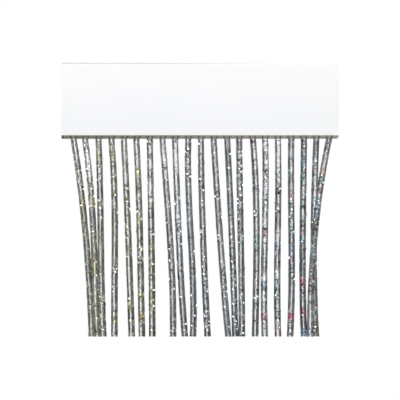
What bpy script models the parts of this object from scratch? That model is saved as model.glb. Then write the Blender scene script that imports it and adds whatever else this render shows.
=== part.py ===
"""String door curtain: a rigid header channel and the row of strands that hangs out of its mouth.

Metres, +Z up. X runs along the header and Y from its front to its back. The origin is the middle of the
header's top face, the edge that the curtain is hung by.
"""
import math

import bmesh
import bpy

# Header, an inverted channel that is open at its mouth and at both ends
HEADER_WIDTH = 0.2216
HEADER_HEIGHT = 0.0584
HEADER_DEPTH = 0.0100
HEADER_WALL = 0.0015
TOP_RIM_HEIGHT = 0.0014
TOP_RIM_STEP = 0.0004
HEADER_EDGE = 0.00025

# Root strip, the narrow backing that the strands are fused into
FIT_GAP = 0.0003
STRIP_THICKNESS = HEADER_DEPTH - 2 * (HEADER_WALL + FIT_GAP)
STRIP_SHOWN = 0.0027
STRIP_TUCKED = 0.0062
STRIP_LEFT_CORNER = 0.0006
STRIP_RIGHT_CORNER = 0.0023
STRIP_EDGE = 0.0004
CORNER_STEPS = 6

# Strands
STRAND_PITCH = 0.01022
STRAND_SIDE = 0.0042
STRAND_LENGTH = 0.1582
ROW_SHIFT = 0.0010
ROOT_DEPTH = 0.0022
SECTIONS = 14

HEADER_WHITE = (0.86, 0.87, 0.88, 1.0)
STRIP_GREY = (0.33, 0.32, 0.30, 1.0)

# How each strand hangs, from left to right, in millimetres. root is how far it starts from its even place
# in the row. third, two_thirds and end are how far it has swung to the right of that place at those shares
# of its length, and depth_third, depth_two_thirds and depth_end how far it has swung back.
HANG_COLUMNS = ("root", "third", "two_thirds", "end", "depth_third", "depth_two_thirds", "depth_end")
HANGS = (
    (0.0, 7.3, 12.0, 14.7, 0.4, 0.8, 0.8),
    (-1.1, 4.5, 7.0, 9.1, -1.6, -2.8, -2.9),
    (-0.5, 1.0, 1.7, 3.4, 0.5, 0.9, 1.0),
    (-0.4, 2.2, 2.3, 2.1, -0.3, -0.6, -0.8),
    (-0.7, 1.9, 3.9, 5.7, 0.6, 1.0, 1.2),
    (-0.9, 1.4, 2.6, 3.7, -0.4, -0.6, -0.5),
    (-0.3, 0.6, 1.3, 1.7, 0.2, 0.3, 0.1),
    (-0.4, 3.7, 7.1, 8.1, -0.7, -1.4, -1.9),
    (-0.6, 1.4, 3.8, 7.3, 0.8, 1.3, 1.5),
    (-0.1, 0.5, 3.2, 3.6, -0.3, -0.8, -1.0),
    (-0.3, 0.6, 2.5, 5.1, 0.3, 0.8, 1.4),
    (-0.4, 3.0, 6.8, 11.4, -0.9, -1.6, -2.0),
    (0.3, 2.9, 5.1, 6.8, 0.6, 1.2, 1.3),
    (-0.3, 0.4, 1.4, 1.8, -0.4, -0.5, -0.3),
    (0.4, 3.1, 3.2, 2.3, 0.3, 0.7, 0.9),
    (-0.1, 0.2, -0.8, -0.2, -0.5, -0.9, -1.0),
    (-0.1, 0.2, -0.5, 0.1, 0.4, 0.5, 0.3),
    (0.5, 0.4, 0.8, -0.5, -0.4, -0.7, -0.6),
    (0.4, -0.3, -0.7, 0.5, 0.7, 1.1, 1.2),
    (0.1, -1.6, -1.9, -0.2, 1.2, 1.7, 1.2),
    (0.1, -8.9, -13.7, -15.2, -4.5, -4.7, -4.2),
)


def start_empty():
    for old in list(bpy.data.objects):
        bpy.data.objects.remove(old, do_unlink=True)


def new_object(name, bm):
    mesh = bpy.data.meshes.new(name)
    bmesh.ops.recalc_face_normals(bm, faces=bm.faces)
    bm.to_mesh(mesh)
    bm.free()
    piece = bpy.data.objects.new(name, mesh)
    bpy.context.collection.objects.link(piece)
    return piece


def plastic(name, colour, roughness):
    material = bpy.data.materials.new(name)
    material.use_nodes = True
    shader = material.node_tree.nodes["Principled BSDF"]
    shader.inputs["Base Color"].default_value = colour
    shader.inputs["Roughness"].default_value = roughness
    shader.inputs["Metallic"].default_value = 0.0
    return material


def extruded(outline, along):
    """A closed prism: the outline is a loop of points, and along moves it to the other end."""
    bm = bmesh.new()
    start = bm.faces.new([bm.verts.new(point) for point in outline])
    swept = bmesh.ops.extrude_face_region(bm, geom=[start])["geom"]
    moved = [item for item in swept if isinstance(item, bmesh.types.BMVert)]
    bmesh.ops.translate(bm, vec=along, verts=moved)
    return bm


def add_bevel(piece, width, segments):
    bevel = piece.modifiers.new("rounded edges", "BEVEL")
    bevel.width = width
    bevel.segments = segments
    bevel.limit_method = "ANGLE"
    bevel.angle_limit = math.radians(50)


def build_header():
    """Front, top and back wall in one profile, with a low stepped rim along the front's top edge."""
    front, back = -HEADER_DEPTH / 2, HEADER_DEPTH / 2
    rim = front + TOP_RIM_STEP
    profile = (
        (front, -HEADER_HEIGHT),
        (front, -TOP_RIM_HEIGHT),
        (rim, -TOP_RIM_HEIGHT),
        (rim, 0.0),
        (back, 0.0),
        (back, -HEADER_HEIGHT),
        (back - HEADER_WALL, -HEADER_HEIGHT),
        (back - HEADER_WALL, -HEADER_WALL),
        (front + HEADER_WALL, -HEADER_WALL),
        (front + HEADER_WALL, -HEADER_HEIGHT),
    )
    left = -HEADER_WIDTH / 2
    header = new_object("header_channel", extruded([(left, y, z) for y, z in profile], (HEADER_WIDTH, 0, 0)))
    add_bevel(header, HEADER_EDGE, 1)
    header.data.materials.append(plastic("white plastic", HEADER_WHITE, 0.45))
    return header


def corner(centre_x, centre_z, radius, start_degrees):
    """A quarter turn, anticlockwise as seen from the front."""
    for step in range(CORNER_STEPS + 1):
        angle = math.radians(start_degrees + 90 * step / CORNER_STEPS)
        yield centre_x + radius * math.cos(angle), centre_z + radius * math.sin(angle)


def build_strip():
    """The root strip's front outline, with a small corner at the left and a fuller one at the right."""
    left, right = -HEADER_WIDTH / 2, HEADER_WIDTH / 2
    top, foot = -HEADER_HEIGHT + STRIP_TUCKED, -HEADER_HEIGHT - STRIP_SHOWN
    outline = [(right, top), (left, top)]
    outline += corner(left + STRIP_LEFT_CORNER, foot + STRIP_LEFT_CORNER, STRIP_LEFT_CORNER, 180)
    outline += corner(right - STRIP_RIGHT_CORNER, foot + STRIP_RIGHT_CORNER, STRIP_RIGHT_CORNER, 270)
    front = -STRIP_THICKNESS / 2
    strip = new_object("strand_strip", extruded([(x, front, z) for x, z in outline], (0, STRIP_THICKNESS, 0)))
    add_bevel(strip, STRIP_EDGE, 1)
    strip.data.materials.append(plastic("clear grey plastic", STRIP_GREY, 0.2))
    return strip


def through_stations(share, values):
    """The smooth cubic that takes the four values at 0, a third, two thirds and the whole of the length."""
    stations = (0.0, 1 / 3, 2 / 3, 1.0)
    total = 0.0
    for here, value in zip(stations, values):
        weight = 1.0
        for other in stations:
            if other != here:
                weight *= (share - other) / (here - other)
        total += weight * value
    return total


def strand_centre(index, share):
    """Where the strand's middle is, at this share of its length below the strip."""
    hang = dict(zip(HANG_COLUMNS, HANGS[index]))
    even_place = ROW_SHIFT + (index - (len(HANGS) - 1) / 2) * STRAND_PITCH
    sway = through_stations(share, (hang["root"], hang["third"], hang["two_thirds"], hang["end"]))
    depth = through_stations(share, (0, hang["depth_third"], hang["depth_two_thirds"], hang["depth_end"]))
    foot = -HEADER_HEIGHT - STRIP_SHOWN
    return even_place + sway / 1000, depth / 1000, foot - share * STRAND_LENGTH


def square_ring(bm, x, y, z):
    half = STRAND_SIDE / 2
    return [bm.verts.new((x + a * half, y + b * half, z)) for a, b in ((-1, -1), (1, -1), (1, 1), (-1, 1))]


def build_strands():
    """Four-sided strands, each rising a little way into the strip and cut level at its lower end."""
    bm = bmesh.new()
    for index in range(len(HANGS)):
        x, y, z = strand_centre(index, 0.0)
        rings = [square_ring(bm, x, y, z + ROOT_DEPTH)]
        for section in range(SECTIONS + 1):
            rings.append(square_ring(bm, *strand_centre(index, section / SECTIONS)))
        bm.faces.new(rings[0])
        bm.faces.new(reversed(rings[-1]))
        for upper, lower in zip(rings, rings[1:]):
            for side in range(4):
                after = (side + 1) % 4
                bm.faces.new((upper[side], lower[side], lower[after], upper[after]))
    strands = new_object("strands guide", bm)
    strands.hide_render = True
    strands.display_type = "WIRE"
    return strands


def fuse(backing, strands):
    union = backing.modifiers.new("fused roots", "BOOLEAN")
    union.operation = "UNION"
    union.solver = "EXACT"
    union.object = strands


start_empty()
build_header()
fuse(build_strip(), build_strands())
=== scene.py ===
import math
import random

import bmesh
import bpy
from mathutils import Matrix, Vector


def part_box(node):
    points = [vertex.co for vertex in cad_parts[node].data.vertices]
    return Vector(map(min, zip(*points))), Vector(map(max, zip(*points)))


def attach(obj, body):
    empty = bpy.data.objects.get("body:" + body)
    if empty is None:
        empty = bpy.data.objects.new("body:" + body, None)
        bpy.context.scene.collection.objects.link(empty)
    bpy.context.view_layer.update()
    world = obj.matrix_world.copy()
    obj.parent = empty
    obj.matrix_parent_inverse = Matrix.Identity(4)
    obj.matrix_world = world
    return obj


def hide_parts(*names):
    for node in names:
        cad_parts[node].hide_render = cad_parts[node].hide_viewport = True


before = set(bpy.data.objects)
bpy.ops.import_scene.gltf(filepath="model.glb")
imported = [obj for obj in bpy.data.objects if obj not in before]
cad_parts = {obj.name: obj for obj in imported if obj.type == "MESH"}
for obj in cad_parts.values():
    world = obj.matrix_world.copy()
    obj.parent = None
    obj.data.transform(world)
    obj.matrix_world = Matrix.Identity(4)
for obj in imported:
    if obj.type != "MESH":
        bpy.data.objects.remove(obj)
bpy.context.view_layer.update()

HEADER = "header_channel"
STRANDS = "strand_strip"

# The header's walls and edges
header_low, header_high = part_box(HEADER)
HEADER_WALL = 0.0015
GROOVE_TOP = 0.00055
GROOVE_FOOT = 0.00125
GROOVE_DEPTH = 0.00015
GROOVE_RAMP = 0.00010
LIP_HEIGHT = 0.0011
LIP_PROUD = 0.00022
HEADER_TOP_ROUND = 0.0003
HEADER_EDGE_ROUND = 0.00012

# The root strip, which sits in the header's mouth
strip_low, strip_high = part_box(STRANDS)
STRIP_SHOWN = 0.0027
STRIP_TUCKED = 0.0062
STRIP_THICKNESS = 0.0064
STRIP_LEFT_ROUND = 0.0006
STRIP_RIGHT_ROUND = 0.0022
STRIP_EDGE_ROUND = 0.0005
STRIP_SAG = 0.0001
strip_foot = header_low.z - STRIP_SHOWN

# The tubes
TUBE_RADIUS = 0.0025
BORE_RADIUS = 0.0013
TUBE_SIDES = 24
TUBE_SECTIONS = 84
ROOT_DEPTH = 0.0022
STRAND_PITCH = 0.01022
ROW_SHIFT = 0.0010
STRAND_LENGTH = strip_foot - strip_low.z

# How each strand hangs, from left to right, in millimetres, as its solid does. root is how far it starts from
# its even place in the row. third, two_thirds and end are how far it has swung to the right of that place at
# those shares of its length, and the depths how far it has swung back.
HANG_COLUMNS = ("root", "third", "two_thirds", "end", "depth_third", "depth_two_thirds", "depth_end")
HANGS = (
    (0.0, 7.3, 12.0, 14.7, 0.4, 0.8, 0.8),
    (-1.1, 4.5, 7.0, 9.1, -1.6, -2.8, -2.9),
    (-0.5, 1.0, 1.7, 3.4, 0.5, 0.9, 1.0),
    (-0.4, 2.2, 2.3, 2.1, -0.3, -0.6, -0.8),
    (-0.7, 1.9, 3.9, 5.7, 0.6, 1.0, 1.2),
    (-0.9, 1.4, 2.6, 3.7, -0.4, -0.6, -0.5),
    (-0.3, 0.6, 1.3, 1.7, 0.2, 0.3, 0.1),
    (-0.4, 3.7, 7.1, 8.1, -0.7, -1.4, -1.9),
    (-0.6, 1.4, 3.8, 7.3, 0.8, 1.3, 1.5),
    (-0.1, 0.5, 3.2, 3.6, -0.3, -0.8, -1.0),
    (-0.3, 0.6, 2.5, 5.1, 0.3, 0.8, 1.4),
    (-0.4, 3.0, 6.8, 11.4, -0.9, -1.6, -2.0),
    (0.3, 2.9, 5.1, 6.8, 0.6, 1.2, 1.3),
    (-0.3, 0.4, 1.4, 1.8, -0.4, -0.5, -0.3),
    (0.4, 3.1, 3.2, 2.3, 0.3, 0.7, 0.9),
    (-0.1, 0.2, -0.8, -0.2, -0.5, -0.9, -1.0),
    (-0.1, 0.2, -0.5, 0.1, 0.4, 0.5, 0.3),
    (0.5, 0.4, 0.8, -0.5, -0.4, -0.7, -0.6),
    (0.4, -0.3, -0.7, 0.5, 0.7, 1.1, 1.2),
    (0.1, -1.6, -1.9, -0.2, 1.2, 1.7, 1.2),
    (0.1, -8.9, -13.7, -15.2, -4.5, -4.7, -4.2),
)
GROUPS = {"gold": range(0, 7), "silver": range(7, 14), "mixed": range(14, 21)}

# By what share a tube swells by its lower end, and its bore in the middle of its length. The bore's swelling
# is whole from a quarter of the way down, and from there it halves towards the lower end
TUBE_SWELL = {"gold": 0.09, "silver": 0.07, "mixed": 0.08}
BORE_SWELL = {"gold": -0.12, "silver": 0.02, "mixed": 0.0}
SWELL_WHOLE_BY = 0.25
SWELL_START = 1.4
SWELL_LOSS = 0.8

# How far a bore lies to the right of its tube's middle at the top and at the lower end, how far it wanders
# sideways and back, and how much the whole tube ripples, each with how fast it goes up and down on its length
BORE_LEAN = {"gold": (-0.00010, -0.00023), "silver": (-0.00002, -0.00014), "mixed": (0.00013, 0.0)}
BORE_WANDER = 0.00006
WANDER_SIDEWAYS = 90
WANDER_BACK = 70
RIPPLE = 0.010
RIPPLE_RATES = (190, 420, 1150)

# Where a tube's bore is wider, so that it looks paler, or narrower. For each strand: how far below the strip
# that stretch begins, or above it if less than 0, and its length, both in millimetres, and by what share the
# bore grows. STRETCH_FADE is the length, in millimetres, over which it fades in and out
BORE_STRETCHES = {
    1: ((-20, 83, -0.12), (16, 18, -0.12), (98, 28, -0.1)),
    2: ((2, 36, 0.3), (48, 14, 0.45), (76, 14, -0.12)),
    3: ((-20, 30, -0.12), (17, 26, 0.22), (84, 38, 0.12)),
    4: ((4, 20, 0.15), (84, 18, -0.12), (130, 40, 0.15)),
    5: ((26, 18, 0.15),),
    6: ((24, 28, 0.28), (76, 16, -0.12), (105, 70, 0.12)),
    7: ((16, 14, 0.15), (34, 28, 0.3), (115, 40, 0.1)),
    8: ((12, 24, 0.15),),
    9: ((-20, 54, 0.22), (58, 26, 0.3), (142, 36, -0.12)),
    10: ((16, 18, 0.15),),
    11: ((35, 18, -0.18),),
    12: ((95, 18, 0.15),),
    13: ((7, 35, -0.2),),
    14: ((-20, 36, -0.22), (56, 16, 0.12), (143, 35, -0.12)),
    16: ((-20, 78, 0.38), (62, 28, 0.32), (108, 72, 0.25)),
    17: ((-20, 66, 0.26), (72, 20, 0.2), (93, 15, -0.15), (108, 72, 0.28)),
    18: ((25, 16, -0.15), (44, 44, 0.15), (136, 11, 0.3)),
    19: ((124, 34, -0.2),),
    21: ((-20, 38, -0.12), (124, 54, 0.15)),
}
STRETCH_FADE = 6.0

# Camera and frame: the picture is square and takes in this much of the object's plane
PICTURE_WIDTH = 0.320
PICTURE_CENTRE_Z = -0.1101
CAMERA_DISTANCE = 3.2
SENSOR = 36.0


class Value:
    """A socket whose sums, differences and products add Math nodes to the finish that it belongs to."""

    def __init__(self, finish, socket):
        self.finish = finish
        self.socket = socket

    def math(self, operation, first, second=None):
        inputs = {0: first} if second is None else {0: first, 1: second}
        return self.finish.node("ShaderNodeMath", {"operation": operation}, inputs)

    def __add__(self, other):
        return self.math("ADD", self, other)

    def __sub__(self, other):
        return self.math("SUBTRACT", self, other)

    def __rsub__(self, other):
        return self.math("SUBTRACT", other, self)

    def __mul__(self, other):
        return self.math("MULTIPLY", self, other)

    def __truediv__(self, other):
        return self.math("DIVIDE", self, other)

    def __abs__(self):
        return self.math("ABSOLUTE", self)

    __radd__ = __add__
    __rmul__ = __mul__


class Finish:
    """A node tree under construction, of a material or of the world."""

    def __init__(self, owner):
        owner.use_nodes = True
        self.owner = owner
        self.tree = owner.node_tree

    def node(self, kind, settings=None, inputs=None, output=0):
        """Adds a node: its settings first, then the values or links of its sockets."""
        made = self.tree.nodes.new(kind)
        for name, value in (settings or {}).items():
            setattr(made, name, value)
        for name, value in (inputs or {}).items():
            self.feed(made.inputs[name], value)
        return Value(self, made.outputs[output])

    def feed(self, socket, value):
        if isinstance(value, Value):
            self.tree.links.new(value.socket, socket)
        else:
            socket.default_value = value

    def coordinates(self, kind):
        return self.node("ShaderNodeTexCoord", output=kind)

    def axes(self, point):
        """The three numbers of a point or direction."""
        split = self.node("ShaderNodeSeparateXYZ", inputs={"Vector": point}).socket.node
        return [Value(self, split.outputs[axis]) for axis in "XYZ"]

    def stretched(self, point, scale):
        return self.node("ShaderNodeMapping", inputs={"Vector": point, "Scale": scale})

    def noise(self, point, scale, detail=2.0, roughness=0.5):
        sockets = {"Vector": point, "Scale": scale, "Detail": detail, "Roughness": roughness}
        return self.node("ShaderNodeTexNoise", inputs=sockets, output="Fac")

    def smooth(self, value, low, high, start=0.0, end=1.0):
        """A soft step: start below low, end above high."""
        sockets = {"Value": value, "From Min": low, "From Max": high, "To Min": start, "To Max": end}
        return self.node("ShaderNodeMapRange", {"interpolation_type": "SMOOTHSTEP"}, sockets)

    def mix(self, share, first, second):
        """A colour between two others."""
        made = self.node("ShaderNodeMix", {"data_type": "RGBA"}, output="Result").socket.node
        self.feed(made.inputs["Factor"], share)
        for name, value in (("A", first), ("B", second)):
            socket = [s for s in made.inputs if s.name == name and s.type == "RGBA"][0]
            self.feed(socket, value)
        result = [s for s in made.outputs if s.type == "RGBA"][0]
        return Value(self, result)

    def bump(self, height, strength, distance):
        sockets = {"Height": height, "Strength": strength, "Distance": distance}
        return self.node("ShaderNodeBump", inputs=sockets, output="Normal")


def plastic(name, sockets):
    """A new material with these values on its Principled shader."""
    finish = Finish(bpy.data.materials.new(name))
    finish.shader = finish.tree.nodes["Principled BSDF"]
    for socket, value in sockets.items():
        finish.shader.inputs[socket].default_value = value
    return finish


def drive(finish, socket, value):
    finish.feed(finish.shader.inputs[socket], value)


# Finishes

WHITE = (1.0, 1.0, 1.0, 1.0)

# The header: its plastic along the top edge, paler as a painted highlight, above, and below, greyer as
# painted shade; the painted shade in its groove; its warm lip with a painted highlight; how far below the top
# edge the painted highlight begins to fade and where it ends; and where on X the groove's painted shade fades
# Painted highlight: the palest white, along the top edge
PALEST_PAINTED_HIGHLIGHT = (0.965, 0.965, 0.965, 1.0)
HEADER_UPPER = (0.925, 0.93, 0.938, 1.0)
# Painted shade: the greyer white towards the mouth
HEADER_LOWER_PAINTED_SHADE = (0.825, 0.834, 0.845, 1.0)
# Painted shade in the groove under the top edge
GROOVE_PAINTED_SHADE = (0.68, 0.68, 0.68, 1.0)
# The lip's warm tint, lighter as a painted highlight
LIP_WARM_PAINTED_HIGHLIGHT = (0.88, 0.87, 0.845, 1.0)
PALE_FROM = 0.0012
PALE_TO = 0.0030
GROOVE_SHADE_FADES = (-0.06, 0.09)

# The root strip: its plastic at either end, the tubes' tint with painted shade from the header, its streaks,
# its foot's painted shade and the marks of the tubes' walls
# The plastic at either end: the tubes' tint with painted shade from the header above
STRIP_LEFT_TINT_AND_SHADE = (0.25, 0.235, 0.20, 1.0)
STRIP_RIGHT_TINT_AND_SHADE = (0.43, 0.41, 0.375, 1.0)
STRIP_STREAK = (0.36, 0.35, 0.32, 1.0)
# Painted shade at the foot
STRIP_FOOT_PAINTED_SHADE = (0.08, 0.075, 0.06, 1.0)
STRIP_WALL_MARK = (0.05, 0.047, 0.04, 1.0)

# The tubes: how far below the strip their plastic stays clear, where it is all deep, and its two colours
CLEAR_TO = 0.010
DEEP_FROM = 0.080
TUBE_COLOURS = {
    "gold": ((0.98, 1.0, 1.0, 1.0), (0.97, 0.98, 0.965, 1.0)),
    "silver": ((0.96, 0.98, 1.0, 1.0), (0.83, 0.852, 0.878, 1.0)),
    "mixed": ((0.97, 0.99, 1.0, 1.0), (0.97, 0.99, 1.0, 1.0)),
}


def header_finish():
    """Satin white plastic, greyer towards its mouth as painted shade and paler along its top edge as a
    painted highlight, with a grey line of painted shade in the groove under its top edge, which fades out to
    the right, and a warmer lip, lighter as a painted highlight."""
    finish = plastic("header white plastic", {"Roughness": 0.42, "Specular IOR Level": 0.3})
    point = finish.coordinates("Object")
    x, _, z = finish.axes(point)
    grain = finish.noise(point, 900.0, 3.0)
    cloud = finish.noise(finish.stretched(point, (14.0, 14.0, 30.0)), 1.0, 1.0)
    # Painted shade: greyer towards the mouth
    down = finish.smooth(z, header_low.z, header_high.z, 1.0, 0.0)
    white = finish.mix(down * 0.8 + cloud * 0.2, HEADER_UPPER, HEADER_LOWER_PAINTED_SHADE)
    foot, top = header_high.z - GROOVE_FOOT, header_high.z - GROOVE_TOP
    groove = finish.smooth(z, foot - GROOVE_RAMP, foot) * finish.smooth(z, top, top + GROOVE_RAMP, 1.0, 0.0)
    # Painted highlight: paler along the top edge
    white = finish.mix(finish.smooth(z, header_high.z - PALE_TO, header_high.z - PALE_FROM), white, PALEST_PAINTED_HIGHLIGHT)
    # Painted shade in the groove, fading out to the right
    groove_shade = finish.mix(finish.smooth(x, *GROOVE_SHADE_FADES), GROOVE_PAINTED_SHADE, PALEST_PAINTED_HIGHLIGHT)
    lined = finish.mix(groove, white, groove_shade)
    # The warm lip, lighter as a painted highlight
    lip = finish.smooth(z, header_low.z + LIP_HEIGHT * 0.6, header_low.z + LIP_HEIGHT * 1.4, 1.0, 0.0)
    lined = finish.mix(lip, lined, LIP_WARM_PAINTED_HIGHLIGHT)
    drive(finish, "Base Color", lined)
    drive(finish, "Roughness", 0.36 + 0.16 * grain)
    drive(finish, "Normal", finish.bump(grain, 0.04, 0.0002))
    return finish.owner


def strip_finish():
    """Fused clear plastic, grey brown: the tubes' tint with painted shade from the header above, darker
    towards its foot as painted shade, with dark marks where the tubes' walls run up into it.
    """
    finish = plastic("fused strip", {"Roughness": 0.3, "Coat Weight": 0.3, "Coat Roughness": 0.15})
    point = finish.coordinates("Object")
    x, _, z = finish.axes(point)
    pitches = (x - (ROW_SHIFT - STRAND_PITCH / 2)) / STRAND_PITCH
    share = finish.node("ShaderNodeMath", {"operation": "FRACT"}, {0: pitches + 100.0})
    from_axis = abs(share - 0.5) * STRAND_PITCH
    wall = finish.smooth(from_axis, 0.0008, 0.0018) * finish.smooth(from_axis, 0.0024, 0.0032, 1.0, 0.0)
    # The tubes' tint, with painted shade from the header, changes from left to right
    along = finish.smooth(x, -0.11, 0.11)
    streaks = finish.noise(finish.stretched(point, (420.0, 420.0, 160.0)), 1.0, 3.0)
    # Painted shade: darker towards the foot
    foot = finish.smooth(z, strip_foot + 0.0003, strip_foot + 0.0020, 1.0, 0.0)
    body = finish.mix(foot * 0.75, finish.mix(along, STRIP_LEFT_TINT_AND_SHADE, STRIP_RIGHT_TINT_AND_SHADE), STRIP_FOOT_PAINTED_SHADE)
    body = finish.mix(finish.smooth(streaks, 0.40, 0.80) * 0.7, body, STRIP_STREAK)
    marked = finish.mix(wall * 0.75, body, STRIP_WALL_MARK)
    drive(finish, "Base Color", marked)
    drive(finish, "Normal", finish.bump(streaks, 0.3, 0.0003))
    return finish.owner


def tube_finish(name, clear, deep):
    """Clear plastic that is lighter near the strip and deeper coloured below, washed with the colour of the
    glitter that lies thickly in it."""
    finish = plastic(name, {"Transmission Weight": 1.0, "IOR": 1.49, "Roughness": 0.06})
    point = finish.coordinates("Object")
    z = finish.axes(point)[2]
    down = finish.smooth(z, strip_foot - DEEP_FROM, strip_foot - CLEAR_TO, 1.0, 0.0)
    haze = finish.noise(finish.stretched(point, (180.0, 180.0, 130.0)), 1.0, 3.0)
    colour = finish.mix(down, clear, deep)
    colour = finish.mix(finish.smooth(haze, 0.42, 0.68) * 0.5, colour, deep)
    wash = finish.node("ShaderNodeVertexColor", {"layer_name": WASH_COLOUR}, output="Color")
    washed_colour = finish.node("ShaderNodeVectorMath", {"operation": "MULTIPLY"}, {0: colour, 1: wash})
    drive(finish, "Base Color", washed_colour)
    drive(finish, "Roughness", 0.03 + 0.14 * haze)
    drive(finish, "Normal", finish.bump(haze, 0.40, 0.0006))
    return finish.owner


def flake_finish(name):
    """Metal film flakes, each with its own colour."""
    finish = plastic(name, {"Metallic": 1.0, "Roughness": 0.22})
    colour = finish.node("ShaderNodeVertexColor", {"layer_name": FLAKE_COLOUR}, output="Color")
    brushed = finish.noise(finish.coordinates("Object"), 1500.0)
    drive(finish, "Base Color", colour)
    drive(finish, "Roughness", 0.10 + 0.14 * brushed)
    return finish.owner


# Modelling by hand

SHARP_EDGE = 50


def added(operator, name, **settings):
    """The object that an add operator makes, alone in the selection, with its place in its mesh."""
    bpy.ops.object.select_all(action="DESELECT")
    operator(**settings)
    piece = bpy.context.object
    piece.name = name
    piece.data.name = name
    bpy.ops.object.transform_apply(location=True, rotation=True, scale=True)
    return piece


def box_between(name, low, high):
    """A box that fills the space between two corners."""
    middle = [(a + b) / 2 for a, b in zip(low, high)]
    size = [b - a for a, b in zip(low, high)]
    return added(bpy.ops.mesh.primitive_cube_add, name, size=1, location=middle, scale=size)


def edit(piece, mode):
    """Edit mode with nothing selected, picking by vertex, edge or face."""
    bpy.ops.object.select_all(action="DESELECT")
    bpy.context.view_layer.objects.active = piece
    piece.select_set(True)
    bpy.ops.object.mode_set(mode="EDIT")
    bpy.ops.mesh.select_mode(type=mode)
    bpy.ops.mesh.select_all(action="DESELECT")


def pick(piece, test):
    """Selects the vertices, edges or faces that pass, by the mode in use."""
    bm = bmesh.from_edit_mesh(piece.data)
    lists = {"VERT": bm.verts, "EDGE": bm.edges, "FACE": bm.faces}
    (mode,) = bm.select_mode
    for item in lists[mode]:
        item.select_set(bool(test(item)))
    bm.select_flush_mode()
    bmesh.update_edit_mesh(piece.data)


def done():
    bpy.ops.object.mode_set(mode="OBJECT")


def cut(z):
    """A level cut round the whole mesh."""
    bpy.ops.mesh.select_all(action="SELECT")
    bpy.ops.mesh.bisect(plane_co=(0, 0, z), plane_no=(0, 0, 1))


def finish_with(piece, name, kind, **settings):
    """Adds a modifier and applies it."""
    bpy.context.view_layer.objects.active = piece
    modifier = piece.modifiers.new(name, kind)
    for setting, value in settings.items():
        setattr(modifier, setting, value)
    bpy.ops.object.modifier_apply(modifier=modifier.name)


def near(a, b, reach=1e-5):
    return abs(a - b) < reach


def edge_at(edge, **where):
    """Whether both ends of an edge lie at these coordinates."""
    return all(near(getattr(v.co, axis), value) for v in edge.verts for axis, value in where.items())


def soften(piece, width, segments):
    """Rounds the edges of a piece that turn by more than SHARP_EDGE degrees."""
    finish_with(
        piece, "softened edges", "BEVEL", width=width, segments=segments,
        limit_method="ANGLE", angle_limit=math.radians(SHARP_EDGE),
    )


def shade(piece, degrees):
    bpy.ops.object.select_all(action="DESELECT")
    bpy.context.view_layer.objects.active = piece
    piece.select_set(True)
    bpy.ops.object.shade_smooth_by_angle(angle=math.radians(degrees))


def hand_over(piece, finish, node):
    piece.data.materials.clear()
    piece.data.materials.append(finish)
    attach(piece, "root")
    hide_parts(node)


def make_header():
    """A channel of three walls: a box with its mouth and ends taken off, walled, rimmed and lipped."""
    low, high = header_low, header_high
    piece = box_between("header", low, high)
    edit(piece, "FACE")
    pick(piece, lambda face: face.normal.z < -0.5 or abs(face.normal.x) > 0.5)
    bpy.ops.mesh.delete(type="ONLY_FACE")
    bpy.ops.mesh.select_mode(type="EDGE")
    pick(piece, lambda edge: edge_at(edge, z=high.z) and near(edge.verts[0].co.y, edge.verts[1].co.y))
    bpy.ops.mesh.bevel(offset=HEADER_TOP_ROUND, segments=3, affect="EDGES")
    done()
    finish_with(piece, "walls", "SOLIDIFY", thickness=HEADER_WALL, offset=-1, use_even_offset=True)
    edit(piece, "VERT")
    top, foot, lip = high.z - GROOVE_TOP, high.z - GROOVE_FOOT, low.z + LIP_HEIGHT
    for level in (top, top - GROOVE_RAMP, foot + GROOVE_RAMP, foot, lip, lip + GROOVE_RAMP):
        cut(level)
    middle, inside = (top + foot) / 2, (top - foot) / 2 - 1e-5
    pick(piece, lambda vert: near(vert.co.y, low.y) and near(vert.co.z, middle, inside))
    bpy.ops.transform.translate(value=(0, GROOVE_DEPTH, 0))
    pick(piece, lambda vert: near(vert.co.y, low.y) and vert.co.z < lip + GROOVE_RAMP / 2)
    bpy.ops.transform.translate(value=(0, -LIP_PROUD, 0))
    done()
    soften(piece, HEADER_EDGE_ROUND, 2)
    shade(piece, 35)
    hand_over(piece, header_finish(), HEADER)
    return piece


def make_strip():
    """The root strip: a bar with rounded lower corners and edges."""
    low = (header_low.x, -STRIP_THICKNESS / 2, strip_foot)
    high = (header_high.x, STRIP_THICKNESS / 2, header_low.z + STRIP_TUCKED)
    piece = box_between("root_strip", low, high)
    edit(piece, "VERT")
    pick(piece, lambda vert: near(vert.co.x, low[0]) and near(vert.co.z, low[2]))
    bpy.ops.transform.translate(value=(0, 0, -STRIP_SAG))
    bpy.ops.mesh.select_mode(type="EDGE")
    pick(piece, lambda edge: edge_at(edge, x=high[0], z=low[2]))
    bpy.ops.mesh.bevel(offset=STRIP_RIGHT_ROUND, segments=6, affect="EDGES")
    pick(piece, lambda edge: edge_at(edge, x=low[0], z=low[2] - STRIP_SAG))
    bpy.ops.mesh.bevel(offset=STRIP_LEFT_ROUND, segments=3, affect="EDGES")
    done()
    soften(piece, STRIP_EDGE_ROUND, 3)
    shade(piece, 40)
    hand_over(piece, strip_finish(), STRANDS)
    return piece


def through_stations(share, values):
    """The smooth cubic that takes the four values at 0, a third, two thirds and the whole of the length."""
    stations = (0.0, 1 / 3, 2 / 3, 1.0)
    total = 0.0
    for here, value in zip(stations, values):
        weight = 1.0
        for other in stations:
            if other != here:
                weight *= (share - other) / (here - other)
        total += weight * value
    return total


def down_strand(z):
    """The share of the strand's length at this height, 0 inside the strip."""
    return max(0.0, (strip_foot - z) / STRAND_LENGTH)


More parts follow.
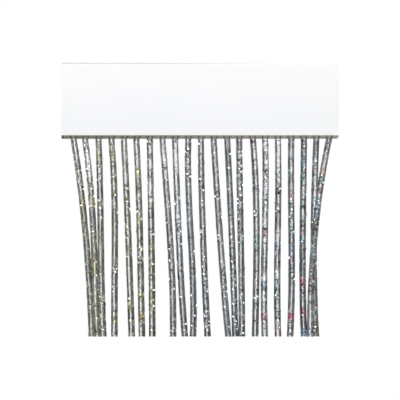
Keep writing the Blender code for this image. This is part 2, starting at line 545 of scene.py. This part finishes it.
def strand_place(index, z):
    """The strand's middle at this height, straight up from its root inside the strip."""
    hang = dict(zip(HANG_COLUMNS, HANGS[index]))
    share = down_strand(z)
    even_place = ROW_SHIFT + (index - (len(HANGS) - 1) / 2) * STRAND_PITCH
    sway = through_stations(share, (hang["root"], hang["third"], hang["two_thirds"], hang["end"]))
    depth = through_stations(share, (0, hang["depth_third"], hang["depth_two_thirds"], hang["depth_end"]))
    return Vector((even_place + sway / 1000, depth / 1000, z))


def straight_tube():
    """One hollow tube, upright on the Z axis, from inside the strip to its level lower end."""
    top = strip_foot + ROOT_DEPTH
    bottom = strip_low.z
    piece = added(
        bpy.ops.mesh.primitive_cylinder_add, "straight tube", vertices=TUBE_SIDES, radius=TUBE_RADIUS,
        depth=top - bottom, location=(0, 0, (top + bottom) / 2), end_fill_type="NOTHING",
    )
    edit(piece, "EDGE")
    pick(piece, lambda edge: not near(edge.verts[0].co.z, edge.verts[1].co.z))
    bpy.ops.mesh.subdivide(number_cuts=TUBE_SECTIONS - 1)
    done()
    wall = TUBE_RADIUS - BORE_RADIUS
    finish_with(piece, "wall", "SOLIDIFY", thickness=wall, offset=-1, use_even_offset=True)
    return piece


def widened(index, below):
    """By what share the strand's bore is wider this far below the strip."""
    total = 0.0
    for start, length, share in BORE_STRETCHES.get(index + 1, ()):
        inside = min(below * 1000 - start, start + length - below * 1000) / STRETCH_FADE
        inside = min(1.0, max(0.0, inside))
        total += share * inside * inside * (3 - 2 * inside)
    return total


def hung(template, index, group, chance):
    """A copy of the straight tube, moved onto its strand's line. It swells a little towards its lower end,
    its bore wanders and varies in width, and its points carry the colour of the glitter that lies there."""
    piece = template.copy()
    piece.data = template.data.copy()
    bpy.context.collection.objects.link(piece)
    phases = [chance.uniform(0, 2 * math.pi) for _ in range(3)]
    lean_top, lean_end = BORE_LEAN[group]
    for vert in piece.data.vertices:
        z = vert.co.z
        share = down_strand(z)
        ripple = sum(RIPPLE * math.sin(z * rate + phases[0] * rate) for rate in RIPPLE_RATES)
        out = Vector((vert.co.x, vert.co.y, 0))
        if out.length < (TUBE_RADIUS + BORE_RADIUS) / 2:
            swell = BORE_SWELL[group] * min(1.0, share / SWELL_WHOLE_BY) * (SWELL_START - SWELL_LOSS * share)
            out *= 1 + ripple + swell + widened(index, strip_foot - z)
            sideways = BORE_WANDER * math.sin(z * WANDER_SIDEWAYS + phases[1])
            out.x += lean_top + (lean_end - lean_top) * share + sideways
            out.y += BORE_WANDER * math.sin(z * WANDER_BACK + phases[2])
        else:
            out *= 1 + ripple + TUBE_SWELL[group] * share
        vert.co = strand_place(index, z) + out
    layer = piece.data.attributes.new(WASH_COLOUR, "FLOAT_COLOR", "POINT")
    for vert, entry in zip(piece.data.vertices, layer.data):
        entry.color = (*washed(index, strip_foot - vert.co.z), 1.0)
    return piece


def washed(index, below):
    """What the glitter's colour leaves of white light, this far below the strip."""
    left = [1.0, 1.0, 1.0]
    for start, length, film, strength in WASHES.get(index + 1, ()):
        inside = min(below * 1000 - start, start + length - below * 1000)
        strength *= min(1.0, max(0.0, inside + 0.5))
        left = [part * (1 - strength + strength * shade) for part, shade in zip(left, FILM[film])]
    return left


def joined(name, parts):
    """One object of all the parts."""
    bpy.ops.object.select_all(action="DESELECT")
    for part in parts:
        part.select_set(True)
    bpy.context.view_layer.objects.active = parts[0]
    bpy.ops.object.join()
    piece = bpy.context.object
    piece.name = name
    piece.data.name = name
    return piece


def make_tubes():
    """The 21 hollow tubes, one piece for each group of seven."""
    template = straight_tube()
    for group, members in GROUPS.items():
        chance = random.Random(group)
        piece = joined(group + "_tubes", [hung(template, index, group, chance) for index in members])
        shade(piece, 50)
        hand_over(piece, tube_finish("clear tube, " + group, *TUBE_COLOURS[group]), STRANDS)
    bpy.data.objects.remove(template, do_unlink=True)


# Glitter, thin six-sided flakes of metal film inside the tubes' walls and on their skin

FLAKE_COLOUR = "flake_colour"
FLAKE_SIDES = 6
FLAKE_THICKNESS = 0.00004
FLAKE_LEAST = 0.00028
FLAKE_MOST = 0.00080
FLAKE_NARROWEST = 0.75
FLAKE_TILT = 0.65
FLAKE_INNER = 0.0017
FLAKE_OUTER = 0.0024

# The films' colours. The last is no film: as a wash it makes a stretch of tube paler
FILM = {
    "white": (0.98, 0.98, 0.97),
    "grey": (0.50, 0.51, 0.52),
    "dark": (0.02, 0.02, 0.025),
    "yellow": (0.92, 0.90, 0.70),
    "olive": (0.54, 0.52, 0.38),
    "orange": (0.90, 0.73, 0.48),
    "crimson": (0.86, 0.26, 0.37),
    "red": (0.68, 0.31, 0.37),
    "pink": (0.92, 0.68, 0.73),
    "violet": (0.42, 0.38, 0.59),
    "blue": (0.32, 0.47, 0.70),
    "sky": (0.56, 0.78, 0.88),
    "teal": (0.33, 0.61, 0.62),
    "green": (0.28, 0.56, 0.38),
    "bronze": (0.20, 0.17, 0.05),
    "ruby": (0.50, 0.07, 0.14),
    "sea": (0.07, 0.26, 0.27),
    "leaf": (0.07, 0.24, 0.12),
    "ink": (0.08, 0.11, 0.26),
    "lighter": (1.12, 1.12, 1.12),
}

# Glitter that lies by chance: how many single flakes there are on a metre of strand, then how many small
# clusters, and their films
SINGLE_FLAKES = {
    "gold": (1500, "grey yellow yellow yellow olive olive dark dark"),
    "silver": (1500, "white grey grey dark dark"),
    "mixed": (1500, "white white grey grey dark dark red violet teal green"),
}
CLUSTER_LENGTH = 0.0016
CLUSTER_FLAKES = 9
CLUSTERS = {
    "gold": ((50, "white"), (60, "white yellow yellow"), (40, "olive dark grey")),
    "silver": ((110, "white"), (30, "white grey"), (25, "grey dark")),
    "mixed": ((60, "white"), (60, "dark"), (20, "grey white")),
}

# Flecks, small flakes that lie flat on the tubes' skin by chance, on a metre of strand
FLECKS = {
    "gold": (480, "white yellow yellow olive bronze dark dark"),
    "silver": (480, "white white grey dark dark"),
    "mixed": (900, "white white white grey dark dark dark dark ruby ruby sea sea leaf ink"),
}
FLECK_LEAST = 0.00036
FLECK_MOST = 0.00070
FLECK_TILT = 0.25

# Specks, larger flakes that stand upright at the tubes' skin, on a metre of strand
SPECKS = {
    "gold": (380, "bronze bronze dark dark dark white white yellow yellow"),
    "silver": (130, "dark"),
    "mixed": (330, "dark dark dark ruby sea leaf ink"),
}
SPECK_REACH = 0.0023
SPECK_LEAST = 0.00055
SPECK_MOST = 0.00100

# Sparkles, larger white flakes on the tubes' skin that lean up or down, on a metre of strand
SPARKLES_PER_METRE = {"gold": 80, "silver": 55, "mixed": 30}
SPARKLE_FILM = {"gold": (0.98, 0.96, 0.84), "silver": FILM["white"], "mixed": FILM["white"]}
SPARKLE_LEAST = 0.00045
SPARKLE_MOST = 0.00085
SPARKLE_LEAN = (0.25, 0.32)

# The plainest sparkles. For each strand from the left: how far below the strip each lies, in millimetres, and
# how far to its side on the front, from -1 at the left edge to 1 at the right
SPARKLES = {
    1: ((34, -0.3), (40, 0.7), (51, 0.0), (53, -0.3), (76, -0.4), (88, 0.6)),
    2: ((5, -0.3), (10, 0.2), (40, 0.3), (53, -0.1), (54, -0.9), (74, 0.0), (98, 0.4), (109, 0.3)),
    3: ((33, -0.4), (55, 0.0), (108, -0.4), (112, 0.7), (126, -0.5), (131, -0.2), (134, 0.5), (143, 0.0)),
    4: ((30, 0.0), (59, 0.8), (68, 0.2), (103, -0.4), (104, 0.5), (118, -0.6), (122, -0.4), (146, 0.0)),
    5: ((39, 0.0), (50, 0.2), (56, 0.8), (70, -0.3), (79, -0.6), (94, -0.6), (103, -0.2), (132, -0.3)),
    6: ((26, 0.0), (58, -0.5), (64, 0.5), (67, -0.4), (94, -0.5), (99, -0.6), (110, 0.0), (124, -0.2)),
    7: ((2, -0.7), (35, -0.8), (49, 0.2), (88, -0.1), (100, 0.3), (121, 0.4), (131, -0.2), (134, 0.4),
        (136, 0.0)),
    8: ((17, 0.2), (54, 0.5), (88, -0.4), (97, -0.4), (112, -0.8), (120, 0.4), (144, 0.2), (151, 0.1),
        (154, -0.3)),
    9: ((47, 0.6), (52, -0.7), (66, 0.6), (74, 0.5), (84, 0.7), (99, -0.9), (126, -0.2), (134, 0.0),
        (144, 0.1), (148, 0.5), (153, 0.0)),
    10: ((8, 0.0), (10, -0.8), (28, -0.2), (30, 0.6), (36, 0.0), (90, 0.7), (98, 0.2), (110, 0.2),
         (133, 0.8), (141, 0.3), (149, -0.4)),
    11: ((4, -0.6), (19, -0.9), (32, -0.3), (70, 0.1), (73, -0.6), (94, 0.1), (102, -0.5), (108, -0.2),
         (112, 0.3), (122, 0.5), (131, -0.3), (138, 0.1), (142, -0.5), (146, 0.6), (150, -0.4),
         (153, 0.0)),
    12: ((37, 0.1), (46, -0.6), (48, 0.2), (77, -0.4), (80, -0.6), (98, -0.2), (111, 0.3), (122, 0.7),
         (126, 0.3), (134, -0.2), (150, 0.4)),
    13: ((23, 0.0), (70, 0.1), (78, -0.1), (82, 0.3), (98, -0.2), (102, 0.0), (120, -0.3), (132, -0.3),
         (142, -0.4), (145, 0.0), (146, 0.4), (152, 0.5)),
    14: ((45, 0.2), (48, -0.6), (59, -0.6), (64, -0.4), (83, -0.6), (124, 0.0), (127, -0.3), (131, 0.5),
         (136, -0.2), (141, 0.4), (149, 0.0), (155, 0.3)),
    15: ((23, 0.0), (58, -0.5), (61, -0.4), (126, 0.4)),
    16: ((31, 0.0), (51, 0.1), (67, 0.0), (111, -0.6)),
    17: ((3, 0.0), (97, 0.0), (106, -0.3), (125, -0.4), (151, 0.4)),
    18: ((48, 0.0), (74, 0.6), (95, -0.7), (108, 0.2), (112, 0.7)),
    19: ((82, -0.2), (98, 0.3)),
    20: ((18, 0.0), (83, 0.2), (86, 0.0), (93, -0.3), (150, 0.0), (153, -0.3)),
    21: ((29, -0.2), (35, 0.6)),
}

# Where glitter colours or shades a whole stretch of tube. For each strand: how far below the strip the
# stretch begins and its length, both in millimetres, its film and how strongly
WASH_COLOUR = "wash_colour"
WASHES = {
    1: ((46, 8, "yellow", 0.7), (54, 19, "olive", 0.5), (73, 40, "grey", 0.35), (113, 17, "olive", 0.2),
        (137, 11, "olive", 0.3)),
    2: ((36, 15, "olive", 0.15), (51, 4, "yellow", 0.8), (56, 20, "grey", 0.5), (77, 11, "olive", 0.4),
        (88, 11, "orange", 0.3), (99, 10, "yellow", 0.5), (138, 9, "grey", 0.25),
        (147, 11, "olive", 0.4)),
    3: ((0, 9, "grey", 0.35), (10, 9, "yellow", 0.4), (40, 80, "grey", 0.15), (67, 12, "orange", 0.15),
        (97, 12, "olive", 0.2), (125, 20, "yellow", 0.4)),
    4: ((7, 12, "yellow", 0.5), (29, 6, "yellow", 0.4), (41, 8, "olive", 0.3), (58, 12, "grey", 0.3),
        (142, 5, "olive", 0.5)),
    5: ((47, 4, "olive", 0.5), (85, 6, "olive", 0.2), (129, 5, "yellow", 0.5), (134, 6, "olive", 0.3)),
    6: ((23, 7, "yellow", 0.8), (30, 13, "olive", 0.4), (63, 5, "yellow", 0.6), (97, 12, "olive", 0.3),
        (123, 6, "yellow", 0.8), (141, 4, "orange", 0.45)),
    7: ((49, 12, "olive", 0.1), (79, 8, "olive", 0.2), (87, 4, "yellow", 0.8), (101, 6, "orange", 0.4),
        (121, 8, "olive", 0.4), (129, 6, "yellow", 0.6)),
    8: ((33, 20, "grey", 0.2), (57, 22, "grey", 0.25), (87, 12, "grey", 0.25)),
    9: ((0, 110, "lighter", 0.8),),
    10: ((0, 30, "grey", 0.1), (30, 128, "grey", 0.2)),
    11: ((0, 9, "grey", 0.25), (37, 14, "grey", 0.25), (147, 12, "grey", 0.25)),
    12: ((15, 55, "grey", 0.22), (140, 18, "grey", 0.35)),
    13: ((0, 9, "grey", 0.2), (9, 21, "grey", 0.45), (30, 30, "grey", 0.25), (78, 32, "lighter", 0.7),
         (138, 20, "grey", 0.35)),
    14: ((0, 60, "grey", 0.1),),
    15: ((1, 2, "red", 0.35), (23, 22, "blue", 0.1), (77, 13, "green", 0.17), (95, 10, "blue", 0.1)),
    16: ((11, 4, "red", 0.24), (66, 3, "yellow", 0.28), (71, 7, "red", 0.21), (101, 9, "red", 0.14),
         (113, 10, "blue", 0.06), (129, 8, "green", 0.14), (139, 6, "red", 0.24)),
    17: ((58, 12, "grey", 0.35), (81, 13, "pink", 0.1), (117, 9, "green", 0.15), (148, 10, "pink", 0.25)),
    18: ((0, 9, "grey", 0.3), (0, 9, "violet", 0.15), (28, 12, "grey", 0.3), (41, 8, "pink", 0.28),
         (49, 28, "teal", 0.1), (85, 9, "blue", 0.21), (100, 7, "violet", 0.28), (105, 31, "grey", 0.25),
         (139, 5, "crimson", 0.5), (144, 3, "pink", 0.35)),
    19: ((0, 9, "red", 0.14), (0, 20, "grey", 0.3), (13, 8, "blue", 0.1), (23, 14, "teal", 0.14),
         (51, 5, "teal", 0.35), (62, 28, "grey", 0.3), (81, 4, "sky", 0.42), (89, 20, "blue", 0.1),
         (90, 22, "grey", 0.5), (111, 5, "red", 0.35), (135, 4, "crimson", 0.45), (139, 10, "grey", 0.25),
         (151, 8, "sky", 0.45)),
    20: ((0, 10, "grey", 0.65), (10, 6, "grey", 0.4), (17, 3, "green", 0.21), (85, 18, "teal", 0.06),
         (110, 6, "teal", 0.28), (116, 6, "red", 0.21), (118, 40, "grey", 0.45), (127, 12, "pink", 0.3),
         (145, 13, "olive", 0.55)),
    21: ((0, 21, "grey", 0.3), (21, 8, "orange", 0.35), (29, 4, "green", 0.28), (33, 8, "pink", 0.35),
         (47, 17, "sky", 0.2), (64, 13, "olive", 0.4), (94, 30, "pink", 0.12), (128, 30, "grey", 0.1)),
}

# Where glitter lies thickly, part of it on the skin. For each strand from the left: how far below the strip
# the patch begins and its length, both in millimetres, and the films in it
PATCH_FLAKES_PER_METRE = 7500
PATCH_ON_SKIN = 0.25
PATCHES = {
    1: ((30, 8, "white yellow grey"), (45, 7, "yellow olive white dark"), (66, 5, "white yellow"),
        (75, 6, "olive yellow")),
    2: ((2, 9, "white grey"), (37, 3, "white"), (51, 4, "yellow yellow olive"), (73, 4, "white yellow"),
        (86, 12, "olive yellow dark")),
    3: ((13, 8, "yellow olive white dark"), (48, 7, "white yellow"), (123, 9, "white white yellow"),
        (141, 3, "white")),
    4: ((8, 9, "yellow white olive"), (29, 5, "white grey"), (41, 5, "yellow olive"), (101, 5, "white"),
        (143, 5, "olive yellow yellow")),
    5: ((37, 5, "white grey"), (47, 5, "olive white"), (71, 3, "white"), (86, 2, "white"),
        (130, 5, "yellow white")),
    6: ((23, 7, "yellow white olive"), (36, 8, "olive dark yellow"), (63, 6, "white olive yellow"),
        (93, 6, "white grey"), (122, 7, "olive yellow white"), (139, 6, "orange olive")),
    7: ((1, 6, "white grey"), (86, 6, "olive yellow"), (100, 2, "white"), (132, 4, "white white yellow")),
    8: ((4, 8, "white"),),
    9: ((64, 14, "white white grey dark"),),
    10: ((3, 28, "white grey dark dark"),),
    11: ((10, 30, "white grey dark"),),
    12: ((2, 13, "white grey"), (42, 6, "white dark")),
    13: ((80, 30, "white grey dark"),),
    14: ((2, 30, "white dark grey"), (32, 50, "white grey dark dark")),
    15: ((1, 3, "red dark"), (27, 3, "blue dark"), (37, 6, "violet dark grey"), (85, 6, "green teal"),
         (92, 3, "red")),
    16: ((12, 4, "red pink dark"), (20, 14, "white white dark ruby"), (66, 4, "white white yellow"),
         (71, 7, "red violet"), (114, 8, "blue teal sky"), (139, 6, "crimson pink crimson")),
    17: ((26, 12, "dark grey white"), (39, 6, "dark grey"), (50, 10, "dark grey white"),
         (81, 9, "violet blue"), (90, 5, "sky white"), (111, 6, "teal sky"), (118, 5, "green teal dark"),
         (124, 28, "sky white dark")),
    18: ((16, 6, "dark violet"), (42, 7, "red green"), (50, 34, "dark sea grey white"),
         (85, 6, "blue violet"), (93, 4, "red dark"), (103, 5, "dark violet"),
         (140, 4, "crimson crimson pink")),
    19: ((2, 3, "red dark"), (13, 9, "blue blue teal"), (27, 8, "green teal"), (53, 4, "green teal dark"),
         (80, 4, "sky teal"), (111, 6, "crimson pink"), (117, 7, "crimson dark blue"),
         (137, 5, "crimson crimson pink"), (152, 6, "sky blue")),
    20: ((18, 4, "white teal green"), (23, 4, "dark red"), (82, 6, "white dark"), (104, 8, "red teal"),
         (131, 10, "sky white"), (146, 10, "olive white dark")),
    21: ((23, 6, "red orange white"), (30, 5, "green dark"), (38, 6, "red pink white"),
         (47, 17, "sky teal white white"), (64, 13, "olive yellow dark"),
         (80, 30, "teal grey white grey"), (116, 8, "red blue teal")),
}


def flake_shape(matrix):
    """The corners of one flake, its lower rim and then its upper one."""
    corners = []
    for level in (-0.5, 0.5):
        for side in range(FLAKE_SIDES):
            angle = 2 * math.pi * side / FLAKE_SIDES
            corners.append(matrix @ Vector((math.cos(angle), math.sin(angle), level)))
    return corners


def flake_faces(start):
    """The faces of one flake whose corners begin at this number."""
    lower = [start + side for side in range(FLAKE_SIDES)]
    upper = [start + FLAKE_SIDES + side for side in range(FLAKE_SIDES)]
    yield tuple(reversed(lower))
    yield tuple(upper)
    for side in range(FLAKE_SIDES):
        after = (side + 1) % FLAKE_SIDES
        yield lower[side], lower[after], upper[after], upper[side]


def level_way(chance):
    """A level direction by chance."""
    angle = chance.uniform(0, 2 * math.pi)
    return Vector((math.cos(angle), math.sin(angle), 0))


def laid(place, normal, size, chance):
    """Where a flake of this size lies, square to its normal and turned by chance."""
    facing = normal.to_track_quat("Z", "Y").to_matrix().to_4x4()
    turn = Matrix.Rotation(chance.uniform(0, math.pi), 4, "Z")
    scale = Matrix.Diagonal((size, size * chance.uniform(FLAKE_NARROWEST, 1.0), FLAKE_THICKNESS, 1.0))
    return Matrix.Translation(place) @ facing @ turn @ scale


def flake_height(below):
    return max(strip_low.z + FLAKE_MOST, strip_foot - below)


def flake_at(index, below, films, chance):
    """One flake inside the wall of a strand, this far below the strip: where it lies, and its film. The dark
    ones stand across the wall and show at the tube's edges, where they add painted shade."""
    film = chance.choice(films)
    outward = level_way(chance)
    # Dark glitter stands across the wall, so that it shows as painted shade at the tube's edges
    facing = Vector((-outward.y, outward.x, 0)) if film == "dark" else outward
    normal = (facing + Vector([chance.gauss(0, FLAKE_TILT) for _ in range(3)])).normalized()
    size = chance.uniform(FLAKE_LEAST, FLAKE_MOST)
    place = strand_place(index, flake_height(below)) + outward * chance.uniform(FLAKE_INNER, FLAKE_OUTER)
    return laid(place, normal, size, chance), FILM[film]


def fleck_at(index, below, films, chance):
    """One small flake that lies against the skin of a strand, this far below the strip."""
    outward = level_way(chance)
    normal = (outward + Vector([chance.gauss(0, FLECK_TILT) for _ in range(3)])).normalized()
    place = strand_place(index, flake_height(below)) + outward * TUBE_RADIUS
    size = chance.uniform(FLECK_LEAST, FLECK_MOST)
    return laid(place, normal, size, chance), FILM[chance.choice(films)]


def speck_at(index, below, film, chance):
    """One speck at the skin of a strand, this far below the strip. It is turned by chance, and its edge may
    stand out a little."""
    place = strand_place(index, flake_height(below)) + level_way(chance) * SPECK_REACH
    normal = level_way(chance)
    return laid(place, normal, chance.uniform(SPECK_LEAST, SPECK_MOST), chance), FILM[film]


def sparkle_at(index, below, outward, facing, group, chance):
    """One sparkle on the skin of a strand, this far below the strip, on this side and facing this way."""
    normal = (facing + Vector((0, 0, chance.uniform(*SPARKLE_LEAN)))).normalized()
    place = strand_place(index, flake_height(below)) + outward * TUBE_RADIUS
    return laid(place, normal, chance.uniform(SPARKLE_LEAST, SPARKLE_MOST), chance), SPARKLE_FILM[group]


def strewn(index, group, chance):
    """The flakes of one strand: single ones and small clusters by chance, the charted patches, flecks, specks
    and sparkles by chance, and the charted sparkles."""
    number, films = SINGLE_FLAKES[group]
    for _ in range(round(number * STRAND_LENGTH)):
        yield flake_at(index, chance.uniform(0, STRAND_LENGTH), films.split(), chance)
    for number, films in CLUSTERS[group]:
        for _ in range(round(number * STRAND_LENGTH)):
            start = chance.uniform(0, STRAND_LENGTH)
            for _ in range(CLUSTER_FLAKES):
                yield flake_at(index, start + chance.uniform(0, CLUSTER_LENGTH), films.split(), chance)
    for start, length, films in PATCHES.get(index + 1, ()):
        for _ in range(round(length / 1000 * PATCH_FLAKES_PER_METRE)):
            lies = fleck_at if chance.random() < PATCH_ON_SKIN else flake_at
            yield lies(index, (start + chance.uniform(0, length)) / 1000, films.split(), chance)
    number, films = FLECKS[group]
    for _ in range(round(number * STRAND_LENGTH)):
        yield fleck_at(index, chance.uniform(0, STRAND_LENGTH), films.split(), chance)
    number, films = SPECKS[group]
    for _ in range(round(number * STRAND_LENGTH)):
        yield speck_at(index, chance.uniform(0, STRAND_LENGTH), chance.choice(films.split()), chance)
    for _ in range(round(SPARKLES_PER_METRE[group] * STRAND_LENGTH)):
        below = chance.uniform(0, STRAND_LENGTH)
        yield sparkle_at(index, below, level_way(chance), level_way(chance), group, chance)
    for below, side in SPARKLES[index + 1]:
        outward = Vector((side, -math.sqrt(1 - side * side), 0))
        yield sparkle_at(index, below / 1000, outward, Vector((0, -1, 0)), group, chance)


def make_flakes():
    """The glitter, one piece for each group, with each flake's colour on its corners."""
    for group, members in GROUPS.items():
        chance = random.Random(group + " flakes")
        corners, faces, colours = [], [], []
        for index in members:
            for matrix, film in strewn(index, group, chance):
                faces.extend(flake_faces(len(corners)))
                corners.extend(flake_shape(matrix))
                colours.extend([film] * (2 * FLAKE_SIDES))
        mesh = bpy.data.meshes.new(group + "_glitter")
        mesh.from_pydata(corners, [], faces)
        layer = mesh.attributes.new(FLAKE_COLOUR, "FLOAT_COLOR", "POINT")
        layer.data.foreach_set("color", [part for colour in colours for part in (*colour, 1.0)])
        piece = bpy.data.objects.new(group + "_glitter", mesh)
        bpy.context.collection.objects.link(piece)
        hand_over(piece, flake_finish("glitter, " + group), STRANDS)


# Studio

FLOOR_BELOW = 0.20
FLOOR_SIZE = 1.7
FLOOR_BACK = 0.1
FAR_FLOOR_SIZE = 5.6
FAR_FLOOR_STEP = 0.001
FLOOR_GREYS = ((0.60, 0.60, 0.60, 1.0), (0.63, 0.63, 0.63, 1.0))

# How bright the room is that the tubes and the glitter see: in its corners, overhead, at the lamps, underfoot
CORNER_GLOW = 0.055
CEILING_GLOW = 0.8
LAMP_GLOW = 4.0
FLOOR_GLOW = 1.3


def make_floor():
    """A pale floor, and more of it further out and a hair lower, which only the camera sees."""
    finish = plastic("pale floor", {"Roughness": 0.9})
    patches = finish.noise(finish.coordinates("Object"), 3.0)
    drive(finish, "Base Color", finish.mix(patches, *FLOOR_GREYS))
    level = strip_low.z - FLOOR_BELOW
    plane = bpy.ops.mesh.primitive_plane_add
    near_floor = added(plane, "floor", size=FLOOR_SIZE, location=(0, FLOOR_BACK, level))
    lower = (0, 0, level - FAR_FLOOR_STEP)
    far_floor = added(plane, "floor further out", size=FAR_FLOOR_SIZE, location=lower)
    far_floor.visible_glossy = False
    far_floor.visible_transmission = False
    for piece in (near_floor, far_floor):
        piece.visible_diffuse = False
        piece.visible_shadow = False
        piece.data.materials.append(finish.owner)


def make_world():
    """White behind everything. What the tubes bend and mirror is a room that is white overhead, underfoot and
    square on to its four sides, and dim in its corners. A ring of bright lamps under its ceiling makes the
    glitter sparkle."""
    world = bpy.data.worlds.new("studio room")
    bpy.context.scene.world = world
    finish = Finish(world)
    background = finish.tree.nodes["Background"]
    x, y, z = finish.axes(finish.coordinates("Generated"))
    off_square = finish.node("ShaderNodeMath", {"operation": "MINIMUM"}, {0: abs(x), 1: abs(y)})
    reach = finish.smooth(z, 0.0, 0.02, 0.28, 0.68)
    corners = finish.smooth(z, -0.03, 0.03, 0.0, CORNER_GLOW)
    walls = finish.smooth(off_square, 0.10, reach, 1.0, 0.0)
    walls = corners + (1 - corners) * walls
    ceiling = finish.smooth(z, 0.22, 0.40)
    floor = finish.smooth(z, -0.50, -0.34, 1.0, 0.0)
    lamps = finish.smooth(z, 0.42, 0.45) * finish.smooth(z, 0.57, 0.60, 1.0, 0.0)
    room = walls * (1 - ceiling) * (1 - floor) + CEILING_GLOW * ceiling
    room = room + LAMP_GLOW * lamps + FLOOR_GLOW * floor
    seen = finish.node("ShaderNodeLightPath", output="Is Camera Ray")
    finish.feed(background.inputs["Color"], WHITE)
    finish.feed(background.inputs["Strength"], room * (1 - seen) + seen)


def soft_light(name, place, size, power):
    """An area light that faces the curtain."""
    light = bpy.data.lights.new(name, "AREA")
    light.shape = "RECTANGLE"
    light.size, light.size_y = size
    light.energy = power
    lamp = bpy.data.objects.new(name, light)
    bpy.context.collection.objects.link(lamp)
    lamp.location = place
    towards = Vector((0, 0, PICTURE_CENTRE_Z)) - Vector(place)
    lamp.rotation_mode = "QUATERNION"
    lamp.rotation_quaternion = towards.to_track_quat("-Z", "Y")
    lamp.visible_camera = False


def make_camera():
    """A long lens square on to the curtain's front."""
    lens = bpy.data.cameras.new("camera")
    lens.sensor_width = SENSOR
    lens.lens = SENSOR * CAMERA_DISTANCE / PICTURE_WIDTH
    camera = bpy.data.objects.new("camera", lens)
    bpy.context.collection.objects.link(camera)
    camera.location = (0, -CAMERA_DISTANCE, PICTURE_CENTRE_Z)
    camera.rotation_euler = (math.pi / 2, 0, 0)
    bpy.context.scene.camera = camera


make_camera()
make_header()
make_strip()
make_tubes()
make_flakes()
make_floor()
make_world()
soft_light("soft light left", (-1.1, -1.7, 0.7), (0.7, 0.9), 1.0)
soft_light("soft light right", (1.3, -1.8, 0.3), (0.6, 0.9), 0.6)
bpy.context.scene.view_settings.view_transform = "Standard"
